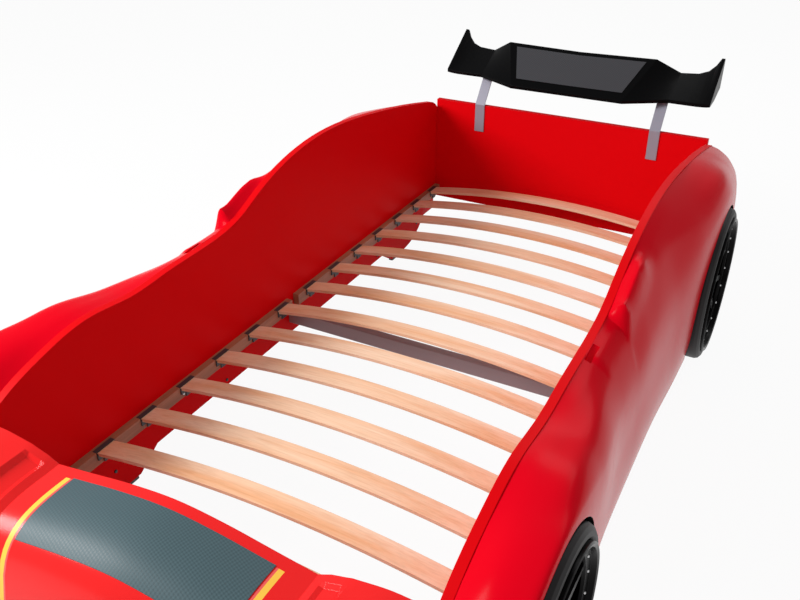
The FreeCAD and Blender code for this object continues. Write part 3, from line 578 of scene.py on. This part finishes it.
def spot(side, out, s, z):
    """A point from its side, its distance out from the board, along the bed and off the floor."""
    return Vector((side * (BOARD_FACE + out), HEAD_Y - s, z)) / 1000.0


def through(knots, s):
    """Value at s of a smooth curve through the knots."""
    if s <= knots[0][0]:
        return knots[0][1]
    if s >= knots[-1][0]:
        return knots[-1][1]
    i = max(k for k in range(len(knots) - 1) if knots[k][0] <= s)
    s0, h0 = knots[i]
    s1, h1 = knots[i + 1]
    before = knots[max(i - 1, 0)]
    after = knots[min(i + 2, len(knots) - 1)]
    slope0 = (h1 - before[1]) / (s1 - before[0])
    slope1 = (after[1] - h0) / (after[0] - s0)
    t = (s - s0) / (s1 - s0)
    return (
        h0 * (1 + 2 * t) * (1 - t) ** 2
        + h1 * t * t * (3 - 2 * t)
        + (s1 - s0) * t * (1 - t) * (slope0 * (1 - t) - slope1 * t)
    )


def stepped(knots, s):
    """Value at s of straight lines between the knots."""
    for (s0, h0), (s1, h1) in zip(knots, knots[1:]):
        if s0 <= s <= s1:
            return h0 + (h1 - h0) * (s - s0) / (s1 - s0)
    return knots[0][1] if s < knots[0][0] else knots[-1][1]


def board_knots():
    """Top edge of a side board, as shares of the inner length and heights over the slats."""
    rise = CREST - BELT
    shares = [
        (0.108, 0.47), (0.220, 0.775), (0.386, 1.0), (0.472, 0.84), (0.546, 0.47), (0.588, 0.19),
        (0.617, 0.085), (0.729, 0.0), (0.787, -0.05), (0.856, 0.042), (0.918, -0.125),
        (0.968, -0.39),
    ]
    knots = [(CORNER_START, REAR_SHOULDER)]
    knots += [(share * INNER_LENGTH, BELT + high * rise) for share, high in shares]
    middle = 0.55 * INNER_LENGTH + 0.45 * BOARD_END
    middle_height = 0.72 * FRONT_SHOULDER + 0.28 * NOSE_TOP
    return knots + [(INNER_LENGTH, FRONT_SHOULDER), (middle, middle_height), (BOARD_END, NOSE_TOP)]


BOARD_KNOTS = board_knots()


def board_top(s):
    """Height of a side board's top edge over the slats."""
    if s >= CORNER_START:
        return through(BOARD_KNOTS, s)
    (s0, h0), (s1, h1) = BOARD_KNOTS[:2]
    slope = (h1 - h0) / (s1 - s0)
    part = min((CORNER_START - s) / CORNER_LENGTH, 1.0)
    corner = CORNER_DROP * (1.0 - math.sqrt(1.0 - part ** 2))
    return h0 - slope * (CORNER_START - s) - corner


# At each place along the bed: how far six points of the shell stand out from the board,
# and how far the first three lie below the board's top edge.
SHELL_REAR = 22.0
SHELL_KNOTS = [
    (-SHELL_REAR, (20, 50, 78, 84, 80, 70), (8, 34, 84)),
    (0.10 * INNER_LENGTH, (32, 76, 106, 112, 108, 92), (10, 36, 92)),
    (AXLES[0], (42, 92, 116, 119, 112, 96), (12, 34, 88)),
    (0.34 * INNER_LENGTH, (34, 78, 106, 112, 108, 92), (24, 66, 130)),
    (0.45 * INNER_LENGTH, (28, 54, 84, 94, 96, 84), (30, 76, 170)),
    (0.588 * INNER_LENGTH, (30, 54, 80, 90, 94, 84), (22, 52, 130)),
    (0.68 * INNER_LENGTH, (28, 58, 86, 96, 98, 86), (14, 42, 106)),
    (0.79 * INNER_LENGTH, (38, 84, 110, 114, 108, 92), (2, 12, 60)),
    (AXLES[1], (46, 96, 117, 119, 112, 96), (-6, -5, 12)),
    (INNER_LENGTH, (44, 92, 114, 117, 110, 94), (-6, -6, 16)),
    (INNER_LENGTH + 0.55 * (BOARD_END - INNER_LENGTH), (38, 84, 104, 108, 104, 88), (0, 4, 22)),
    (BOARD_END, (30, 66, 86, 92, 92, 82), (4, 14, 30)),
]
SCOOP_KNOTS = [
    (SCOOP_FRONT - k * SCOOP_LENGTH, SCOOP_HEIGHT * v)
    for k, v in ((1.0, 0.0), (0.86, 0.2), (0.66, 0.7), (0.5, 0.8), (0.18, 0.86))
] + [
    (SCOOP_FRONT - SCOOP_FACE, SCOOP_HEIGHT), (SCOOP_FRONT, 0.1 * SCOOP_HEIGHT),
    (SCOOP_MOUTH - SCOOP_FACE, 0.12 * SCOOP_HEIGHT), (SCOOP_MOUTH, 0.0),
]


def fender_height(s):
    """Height of the shell's edge over the nearer wheel."""
    reach = min(abs(s - axle) for axle in AXLES)
    return WHEEL_CENTRE + math.sqrt(max((ARCH_RADIUS + ARCH_LIP) ** 2 - reach ** 2, 0.0))


def smooth_max(a, b, blend):
    """The larger of two heights, rounded where they cross."""
    return (a + b + math.hypot(a - b, blend)) / 2


def shell_section(s):
    """Seven points of the shell's outer form as (distance from the board, height)."""
    outs = [through([(k[0], k[1][i]) for k in SHELL_KNOTS], s) for i in range(6)]
    drops = [through([(k[0], k[2][i]) for k in SHELL_KNOTS], s) for i in range(3)]
    top = SLAT_HEIGHT + board_top(s) - TOP_EDGE_DROP
    crowns = [fender_height(s) + lift for lift in (-4, 2, -4)]
    shoulder = [smooth_max(top - drop, crown, FENDER_BLEND) for drop, crown in zip(drops, crowns)]
    shoulder[0] += stepped(SCOOP_KNOTS, s)
    low = shoulder[2]
    heights = shoulder + [low + (SILL - low) * share for share in (0.36, 0.72, 1.0)]
    return [(0.0, top)] + list(zip(outs, heights))


def rounded(points, steps):
    """More points on a smooth curve through a section, spaced by its own length."""
    travel = [0.0]
    for a, b in zip(points, points[1:]):
        travel.append(travel[-1] + math.hypot(b[0] - a[0], b[1] - a[1]))
    curves = [list(zip(travel, [p[axis] for p in points])) for axis in (0, 1)]
    result = []
    for i, (t0, t1) in enumerate(zip(travel, travel[1:])):
        for step in range(steps[i]):
            t = t0 + (t1 - t0) * step / steps[i]
            result.append(tuple(through(curve, t) for curve in curves))
    result.append(points[-1])
    return result


def span(start, end, step):
    """Even places from start up to, but without, end."""
    count = max(1, round((end - start) / step))
    return [start + (end - start) * i / count for i in range(count)]


def shell_stations():
    """Places along a shell, close together where its form turns fast."""
    steep = [SCOOP_FRONT - SCOOP_FACE, SCOOP_FRONT, SCOOP_MOUTH - SCOOP_FACE, SCOOP_MOUTH + 3.0]
    corner = CORNER_START - CORNER_LENGTH
    places = [-SHELL_REAR, corner] + span(corner + 1.5, CORNER_START, 5.0)
    places += span(CORNER_START, steep[0], 14.0) + span(steep[0], steep[1], 3.0)
    places += span(steep[1], steep[2], 12.0) + span(steep[2], steep[3], 3.0)
    return places + span(steep[3], BOARD_END, 12.0) + [BOARD_END]


def shell_skin(side):
    """Closed form of one side shell, rounded at its rear end."""
    points, loops = [], []
    for s in shell_stations():
        section = rounded(shell_section(s), (6, 6, 6, 5, 4, 4))
        tuck = min(1.0, (s + SHELL_REAR) / REAR_ROUND)
        narrow = REAR_WIDTH + (1.0 - REAR_WIDTH) * math.sqrt(max(0.0, 1.0 - (1.0 - tuck) ** 2))
        loops.append(range(len(points), len(points) + len(section) + 1))
        points += [spot(side, out * narrow, s, z) for out, z in section]
        points.append(spot(side, 0.0, s, SHELL_FOOT))
    return points, turned(skinned(loops), side > 0)


def scoop_slot(side):
    """Narrow wedge that opens the front of the ridge beside the board."""
    base = SLAT_HEIGHT + board_top(SCOOP_MOUTH)
    back = (SCOOP_MOUTH - SLOT_BACK, base - 2.0, base + 12.0)
    front = (SCOOP_MOUTH + SLOT_AHEAD, base - 16.0, base + 30.0)
    points = []
    for s, low, high in (back, front):
        corners = ((SLOT_NEAR, low), (SLOT_FAR, low - 4.0), (SLOT_FAR, high), (SLOT_NEAR, high))
        points += [spot(side, out, s, z) for out, z in corners]
    return cutter_object("slot_cutter", points, turned(skinned([range(4), range(4, 8)]), side > 0))


# Half section of the bonnet: crown as (share of the way to the crease, share of the rise),
# and the stations as (distance from the headboard, scale of the crease's height).
BONNET_TIP = NOSE - 38.0
BONNET_LENGTH = BONNET_TIP - INNER_LENGTH
BONNET_SHAPE = ((-0.36, 0.78), (0.0, 1.0), (0.36, 0.78), (0.75, 0.30), (1.0, 0.0))
BONNET_SCALE = [
    (INNER_LENGTH + part * BONNET_LENGTH, scale)
    for part, scale in ((0.0, 1.0), (0.5, 0.985), (0.75, 0.88), (0.9, 0.66), (1.0, 52.0 / CREASE))
]
BONNET_DEPTH = [
    (INNER_LENGTH + RECESS_START, 0.0), (INNER_LENGTH + RECESS_START + RECESS_DEPTH, RECESS_DEPTH),
    (INNER_LENGTH + 0.5 * BONNET_LENGTH, RECESS_DEPTH), (INNER_LENGTH + 0.9 * BONNET_LENGTH, 0.0),
]


def bonnet_half(s):
    """Points (x, height over the slats) from the middle of the bonnet to its edge."""
    low = CREASE * through(BONNET_SCALE, s)
    depth = stepped(BONNET_DEPTH, s)
    rise, swell = CROWN - CREASE, FENDER - CREASE
    inner, outer = RECESS_X, RECESS_X + RECESS_WIDTH
    middle = (outer + BONNET_EDGE) / 2
    points = [(CREASE_X * i / 14, low + rise * through(BONNET_SHAPE, i / 14)) for i in range(14)]
    points += [(CREASE_X, low), (inner, low + 0.24 * swell)]
    points += [
        (inner + 0.2 * RECESS_WIDTH, low + 0.38 * swell - depth),
        (outer - 0.2 * RECESS_WIDTH, low + 0.62 * swell - depth),
        (outer, low + 0.72 * swell),
    ]
    brow = [(outer, 0.72), (middle, 0.98), (BONNET_EDGE, 0.88)]
    steps = [outer + (BONNET_EDGE - outer) * i / 10 for i in range(1, 11)]
    return points + [(x, low + swell * through(brow, x)) for x in steps]


def bonnet_stations():
    """Places along the bonnet, with the recess's rear end between the first few."""
    mouth = INNER_LENGTH + RECESS_START
    places = [INNER_LENGTH, INNER_LENGTH + 3.0, mouth, mouth + RECESS_DEPTH]
    return places + span(mouth + RECESS_DEPTH + 7.0, BONNET_TIP, 9.0) + [BONNET_TIP]


def bonnet_sheet(stations, lift, thickness, half_width=None):
    """Closed sheet that follows the bonnet, from its underside's lift to its thickness above."""
    points, loops = [], []
    for s in stations:
        right = bonnet_half(s)
        if half_width is not None:
            edge = (half_width, stepped(right, half_width))
            right = [p for p in right if p[0] < half_width] + [edge]
        across = [(-x, h) for x, h in reversed(right[1:])] + right
        loop = [(x, h + lift + thickness) for x, h in across]
        loop += [(x, h + lift) for x, h in reversed(across)]
        loops.append(range(len(points), len(points) + len(loop)))
        points += [Vector((x, HEAD_Y - s, SLAT_HEIGHT + h)) / 1000.0 for x, h in loop]
    return points, skinned(loops)


def bonnet_skin():
    """Bonnet's sheet with the lip that hooks over the footboard."""
    points, faces = bonnet_sheet(bonnet_stations(), -BONNET_WALL, BONNET_WALL)
    back = HEAD_Y - INNER_LENGTH - HOOK_GAP
    front = back - BONNET_WALL
    top = SLAT_HEIGHT + CREASE - HOOK_TOP
    corners = ((-CREASE_X, front), (CREASE_X, front), (CREASE_X, back), (-CREASE_X, back))
    loops = []
    for z in (top, top - HOOK_DROP):
        loops.append(range(len(points), len(points) + 4))
        points += [Vector((x, y, z)) / 1000.0 for x, y in corners]
    return points, faces + skinned(loops)


def panel_skin():
    """Thin film that lies on the bonnet's crown."""
    start = INNER_LENGTH + PANEL_SETBACK
    stations = span(start, start + PANEL_LENGTH, 9.0) + [start + PANEL_LENGTH]
    return bonnet_sheet(stations, PANEL_LIFT, PANEL_FILM, PANEL_HALF_WIDTH)


def ramp_point(across, along, lift):
    """Point over the spoiler's ramp: across from -1 to 1, along from its lip to its rear edge."""
    x = across * (RAMP_HALF + RAMP_FLARE * along)
    behind = RAMP_FRONT + (RAMP_DEPTH + RAMP_END_BACK * abs(across)) * along
    height = RAMP_LOW + (RAMP_RISE + RAMP_END_UP * abs(across)) * along
    slope = math.hypot(RAMP_RISE, RAMP_DEPTH)
    y = HEAD_Y + behind - lift * RAMP_RISE / slope
    return Vector((x, y, SLAT_HEIGHT + height + lift * RAMP_DEPTH / slope)) / 1000.0


def film_skin(count=12):
    """Thin film on the spoiler's ramp, inset from its edges."""
    (low, high), (near, far) = FILM_LIFTS, FILM_ALONG
    points = []
    for i in range(count + 1):
        across = FILM_ACROSS * (2.0 * i / count - 1.0)
        for along, lift in ((near, low), (near, high), (far, high), (far, low)):
            points.append(ramp_point(across, along, lift))
    return points, skinned([range(4 * i, 4 * i + 4) for i in range(count + 1)])


def stud_heads(side, s, sides=10):
    """Domed stud heads on a circle round one rim."""
    points, faces = [], []
    count, radius = sizes().stud_count, sizes().stud_radius * 1000.0
    circle = sizes().stud_circle * 1000.0
    for k in range(count):
        turn = 2 * math.pi * (k + 0.5) / count
        centre_s, centre_z = s + circle * math.sin(turn), WHEEL_CENTRE + circle * math.cos(turn)
        loops = []
        for out, share in STUD_PROFILE:
            loops.append(range(len(points), len(points) + sides))
            for i in range(sides):
                angle = 2 * math.pi * i / sides
                along = centre_s + radius * share * math.sin(angle)
                z = centre_z + radius * share * math.cos(angle)
                points.append(spot(side, STUD_BASE + out, along, z))
        faces += skinned(loops)
    return points, turned(faces, side < 0)


# ---------------------------------------------------------------- operators

class CARBED_OT_boards(bpy.types.Operator):
    """Lacquer the side boards, headboard and footboard"""
    bl_idname = "carbed.boards"
    bl_label = "Painted boards"

    def execute(self, context):
        dress(named("side_board", "headboard", "footboard"), lacquered_board())
        return {"FINISHED"}


class CARBED_OT_shells(bpy.types.Operator):
    """Glossy side shells"""
    bl_idname = "carbed.shells"
    bl_label = "Side shells"

    def execute(self, context):
        finish = shell_gloss()
        for name, side in (("right", 1), ("left", -1)):
            node = "side_shell_" + name
            piece = new_piece("shell_skin_" + name, *shell_skin(side), finish, "shell_plastic")
            cutters = [drum(side, s, ARCH_RADIUS, POCKET, 2 * POCKET) for s in AXLES]
            solid_cut(piece, cutters + [scoop_slot(side)])
            shade_smooth(piece, 32)
            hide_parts(node)
        return {"FINISHED"}


class CARBED_OT_bonnet(bpy.types.Operator):
    """Bonnet with its stripe and woven panel"""
    bl_idname = "carbed.bonnet"
    bl_label = "Bonnet"

    def execute(self, context):
        skin = new_piece("bonnet_skin", *bonnet_skin(), bonnet_finish(), "bonnet_plastic", 16)
        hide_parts("bonnet")
        film = woven_film("bonnet_film", paint("panel"), 0.22)
        panel = new_piece("bonnet_panel_skin", *panel_skin(), film, "panel_film", 30)
        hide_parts("bonnet_panel")
        return {"FINISHED"}


class CARBED_OT_bumper(bpy.types.Operator):
    """Front bumper, grille and headlamps"""
    bl_idname = "carbed.bumper"
    bl_label = "Front bumper"

    def execute(self, context):
        dress(["front_bumper"], gloss_plastic("bumper_gloss", paint("shell")))
        dress(["grille"], moulded("grille_black", paint("black"), 0.5))
        dress(named("headlamp"), lens())
        return {"FINISHED"}


class CARBED_OT_slats(bpy.types.Operator):
    """Beech slats"""
    bl_idname = "carbed.slats"
    bl_label = "Slats"

    def execute(self, context):
        slats = [n for n in named("slat_") if not n.startswith("slat_holders")]
        dress(slats, wood("slat_beech", paint("slat"), paint("slat_grain"), 1.0, 0.34))
        return {"FINISHED"}


class CARBED_OT_rails(bpy.types.Operator):
    """Rails, slat holders, crossbar and its brackets"""
    bl_idname = "carbed.rails"
    bl_label = "Rails and crossbar"

    def execute(self, context):
        base = paint("rail")
        rails = [n for n in named("rail_") if n != "rail_screws"]
        dress(rails, wood("rail_stain", base, darker(base, 0.66), 1.3, 0.4, "Y"))
        dress(named("slat_holders"), moulded("holder_grey", linear(52, 48, 50), 0.5))
        dress(named("crossbar", "crossbar_bracket"), powder_coat("crossbar_grey", paint("steel")))
        return {"FINISHED"}


class CARBED_OT_wheels(bpy.types.Operator):
    """Tyres and rims"""
    bl_idname = "carbed.wheels"
    bl_label = "Wheels"

    def execute(self, context):
        dress(named("tyre"), tyre_finish())
        dress(named("rim"), gloss_plastic(
            "rim_black", linear(5, 4, 5), peel=0.03, edge=0.0015, rough=0.2, shine=0.3, bend=1.2
        ))
        bright = plated_steel("stud_steel")
        for name, side in (("right", 1), ("left", -1)):
            for end, s in zip(("rear", "front"), AXLES):
                studs = stud_heads(side, s)
                new_piece("rim_studs_%s_%s" % (end, name), *studs, bright, "screw_steel", 40)
        return {"FINISHED"}


class CARBED_OT_spoiler(bpy.types.Operator):
    """Spoiler and its steel strips"""
    bl_idname = "carbed.spoiler"
    bl_label = "Spoiler"

    def execute(self, context):
        dress(["spoiler"], gloss_plastic(
            "spoiler_black", paint("black"), peel=0.05, edge=0.004, rough=0.26, shine=0.3, bend=1.2
        ))
        dress(named("spoiler_bracket"), powder_coat("bracket_silver", paint("strip"), 0.36))
        film = woven_film("spoiler_film", paint("film"), 0.4)
        new_piece("spoiler_film_skin", *film_skin(), film, "panel_film", 30)
        return {"FINISHED"}


class CARBED_OT_fasteners(bpy.types.Operator):
    """Screws, bolts, dowels, wheel blocks and floor glides"""
    bl_idname = "carbed.fasteners"
    bl_label = "Fasteners"

    def execute(self, context):
        steel = [n for n in NODES if n.endswith(("_screws", "_bolts"))]
        dress(steel, plated_steel("screw_steel"))
        dress(["shell_screws"], moulded("screw_black", paint("black"), 0.5))
        pale = linear(214, 184, 142)
        dress(["dowels", "wheel_blocks"], wood("plain_wood", pale, darker(pale, 0.75), 1.2, 0.6))
        dress(["floor_glides"], moulded("glide_nylon", linear(34, 34, 36), 0.5))
        return {"FINISHED"}


# Stage, in metres, degrees and watts. The camera was fitted to the photograph's straight edges.
WHITE = (1.0, 1.0, 1.0)
FLOOR_REACH, FLOOR_GLOW, WORLD_LIGHT = 14.0, 0.94, 0.38
CAMERA_LENS = 38.84
CAMERA_PLACE = (0.7983, -1.6763, 1.3615)
CAMERA_TURN = (60.11, 0.03, 27.78)
LAMPS = (
    ("key", (-2.9, -2.0, 2.7), (0.0, 0.1, 0.3), (1.8, 1.8), 190.0),
    ("fill", (3.2, -2.4, 2.6), (0.2, 0.0, 0.3), (2.4, 2.0), 14.0),
    ("back", (0.4, 3.4, 3.0), (0.0, 0.4, 0.3), (3.0, 1.4), 30.0),
)


class CARBED_OT_stage(bpy.types.Operator):
    """Floor, soft light and camera"""
    bl_idname = "carbed.stage"
    bl_label = "Stage"

    def execute(self, context):
        floor = self.floor()
        self.world(context)
        self.lamps(context)
        self.camera(context)
        context.scene.view_settings.view_transform = "Standard"
        return {"FINISHED"}

    def floor(self):
        g = Graph("pale_floor")
        cloud = g.noise(g.place(), 1.5, 2.0)
        shade = g.mix(cloud * 0.3, (0.86, 0.86, 0.86), (0.82, 0.82, 0.82))
        matt = g.add("ShaderNodeBsdfPrincipled", {}, {"Base Color": shade, "Roughness": 0.9})
        bright = g.add("ShaderNodeEmission", {}, {"Color": WHITE, "Strength": 1.0})
        rays = ("Is Camera Ray", "Is Glossy Ray", "Is Transmission Ray")
        camera, glossy, passing = (g.add("ShaderNodeLightPath", out=ray) for ray in rays)
        share = (camera + glossy + passing) * FLOOR_GLOW
        pale = g.show(g.add("ShaderNodeMixShader", {}, {0: share, 1: matt, 2: bright}))
        reach = FLOOR_REACH
        corners = [(-reach, -reach, 0), (reach, -reach, 0), (reach, reach, 0), (-reach, reach, 0)]
        mesh = bpy.data.meshes.new("floor")
        mesh.from_pydata(corners, [], [(0, 1, 2, 3)])
        floor = bpy.data.objects.new("floor", mesh)
        mesh.materials.append(pale)
        bpy.context.scene.collection.objects.link(floor)
        return floor

    def world(self, context):
        g = Graph("studio", world=True)
        soft = g.add("ShaderNodeBackground", {}, {"Color": WHITE, "Strength": WORLD_LIGHT})
        white = g.add("ShaderNodeBackground", {}, {"Color": WHITE, "Strength": 1.0})
        seen = g.add("ShaderNodeLightPath", out="Is Camera Ray")
        context.scene.world = g.show(g.add("ShaderNodeMixShader", {}, {0: seen, 1: soft, 2: white}))

    def lamp(self, context, name, place, aim, size, watts):
        data = bpy.data.lights.new(name, "AREA")
        data.shape = "RECTANGLE"
        data.size, data.size_y = size
        data.energy = watts
        lamp = bpy.data.objects.new(name, data)
        context.scene.collection.objects.link(lamp)
        lamp.location = place
        lamp.rotation_euler = (Vector(aim) - Vector(place)).to_track_quat("-Z", "Y").to_euler()

    def lamps(self, context):
        for lamp in LAMPS:
            self.lamp(context, *lamp)

    def camera(self, context):
        data = bpy.data.cameras.new("camera")
        data.sensor_width = 36.0
        data.lens = CAMERA_LENS
        data.clip_end = 100.0
        camera = bpy.data.objects.new("camera", data)
        context.scene.collection.objects.link(camera)
        camera.location = CAMERA_PLACE
        camera.rotation_euler = [math.radians(turn) for turn in CAMERA_TURN]
        context.scene.camera = camera


class CARBED_PT_panel(bpy.types.Panel):
    """Settings and steps of the car bed"""
    bl_idname = "CARBED_PT_panel"
    bl_label = "Car bed"
    bl_space_type = "VIEW_3D"
    bl_region_type = "UI"
    bl_category = "Car bed"

    def draw(self, context):
        layout = self.layout
        for group in (context.scene.car_bed_colours, context.scene.car_bed_sizes):
            box = layout.box()
            for key in group.__annotations__:
                box.prop(group, key)
        for step in STEPS:
            layout.operator(step.bl_idname)


STEPS = (
    CARBED_OT_stage,
    CARBED_OT_boards,
    CARBED_OT_shells,
    CARBED_OT_bonnet,
    CARBED_OT_bumper,
    CARBED_OT_slats,
    CARBED_OT_rails,
    CARBED_OT_wheels,
    CARBED_OT_spoiler,
    CARBED_OT_fasteners,
)
CLASSES = (CarBedColours, CarBedSizes) + STEPS + (CARBED_PT_panel,)


def register():
    for item in CLASSES:
        bpy.utils.register_class(item)
    bpy.types.Scene.car_bed_colours = PointerProperty(type=CarBedColours)
    bpy.types.Scene.car_bed_sizes = PointerProperty(type=CarBedSizes)


def unregister():
    del bpy.types.Scene.car_bed_sizes
    del bpy.types.Scene.car_bed_colours
    for item in reversed(CLASSES):
        bpy.utils.unregister_class(item)


def main():
    register()
    for step in STEPS:
        getattr(bpy.ops.carbed, step.bl_idname.split(".")[1])()


if __name__ == "__main__":
    main()
